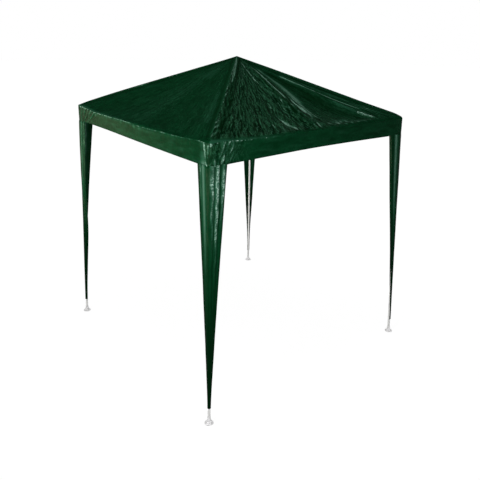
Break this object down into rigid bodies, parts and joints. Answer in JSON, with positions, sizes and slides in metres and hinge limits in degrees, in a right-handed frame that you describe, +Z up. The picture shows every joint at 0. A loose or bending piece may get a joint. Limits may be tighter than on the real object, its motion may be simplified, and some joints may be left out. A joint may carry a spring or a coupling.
{
  "type": "pop up gazebo",
  "caption": "Garden gazebo with a square tube frame on splayed legs, a pyramid cover with a straight valance and tapering corner drapes, and moulded feet.",
  "frame": {"origin": "on the ground, midway between the four feet", "axes": "+Z up; X and Y along the sides, with the front side at -Y and the left side at -X"},
  "size_m": [2.062, 2.062, 2.3811],
  "materials": {
    "tube": "white powder coat, satin",
    "connector": "moulded, fine matt",
    "foot": "moulded, fine matt",
    "roof_sheet": "woven polyethylene, glossy",
    "valance_sheet": "woven polyethylene, glossy",
    "drape_sheet": "woven polyethylene, glossy"
  },
  "bodies": {
    "roof_frame": {"crown_hub": "connector", "rib_upper_fl": "tube", "rib_upper_fr": "tube", "rib_upper_br": "tube", "rib_upper_bl": "tube", "rib_lower_fl": "tube", "rib_lower_fr": "tube", "rib_lower_br": "tube", "rib_lower_bl": "tube", "corner_fl": "connector", "corner_fr": "connector", "corner_br": "connector", "corner_bl": "connector", "eave_front_a": "tube", "eave_right_a": "tube", "eave_back_a": "tube", "eave_left_a": "tube", "eave_front_b": "tube", "eave_right_b": "tube", "eave_back_b": "tube", "eave_left_b": "tube"},
    "cover": {"roof_front": "roof_sheet", "roof_right": "roof_sheet", "roof_back": "roof_sheet", "roof_left": "roof_sheet", "valance_front": "valance_sheet", "valance_right": "valance_sheet", "valance_back": "valance_sheet", "valance_left": "valance_sheet", "drape_fl_front": "drape_sheet", "drape_fl_left": "drape_sheet", "drape_fr_front": "drape_sheet", "drape_fr_right": "drape_sheet", "drape_br_right": "drape_sheet", "drape_br_back": "drape_sheet", "drape_bl_back": "drape_sheet", "drape_bl_left": "drape_sheet"},
    "leg_fl_top": {"leg_upper_fl": "tube"},
    "leg_fl_base": {"leg_lower_fl": "tube", "foot_fl": "foot"},
    "leg_fr_top": {"leg_upper_fr": "tube"},
    "leg_fr_base": {"leg_lower_fr": "tube", "foot_fr": "foot"},
    "leg_br_top": {"leg_upper_br": "tube"},
    "leg_br_base": {"leg_lower_br": "tube", "foot_br": "foot"},
    "leg_bl_top": {"leg_upper_bl": "tube"},
    "leg_bl_base": {"leg_lower_bl": "tube", "foot_bl": "foot"}
  },
  "joints": [
    {"name": "cover_lift", "type": "slide", "parent": "roof_frame", "child": "cover", "axis": [0, 0, 1], "range_m": [0, 2.36]},
    {"name": "leg_fl_socket_pull", "type": "slide", "parent": "roof_frame", "child": "leg_fl_top", "axis": [-0.0331, -0.0331, -0.9989], "range_m": [0, 0.06]},
    {"name": "leg_fl_swage_pull", "type": "slide", "parent": "leg_fl_top", "child": "leg_fl_base", "axis": [-0.0331, -0.0331, -0.9989], "range_m": [0, 0.065]},
    {"name": "leg_fr_socket_pull", "type": "slide", "parent": "roof_frame", "child": "leg_fr_top", "axis": [0.0331, -0.0331, -0.9989], "range_m": [0, 0.06]},
    {"name": "leg_fr_swage_pull", "type": "slide", "parent": "leg_fr_top", "child": "leg_fr_base", "axis": [0.0331, -0.0331, -0.9989], "range_m": [0, 0.065]},
    {"name": "leg_br_socket_pull", "type": "slide", "parent": "roof_frame", "child": "leg_br_top", "axis": [0.0331, 0.0331, -0.9989], "range_m": [0, 0.06]},
    {"name": "leg_br_swage_pull", "type": "slide", "parent": "leg_br_top", "child": "leg_br_base", "axis": [0.0331, 0.0331, -0.9989], "range_m": [0, 0.065]},
    {"name": "leg_bl_socket_pull", "type": "slide", "parent": "roof_frame", "child": "leg_bl_top", "axis": [-0.0331, 0.0331, -0.9989], "range_m": [0, 0.06]},
    {"name": "leg_bl_swage_pull", "type": "slide", "parent": "leg_bl_top", "child": "leg_bl_base", "axis": [-0.0331, 0.0331, -0.9989], "range_m": [0, 0.065]}
  ]
}
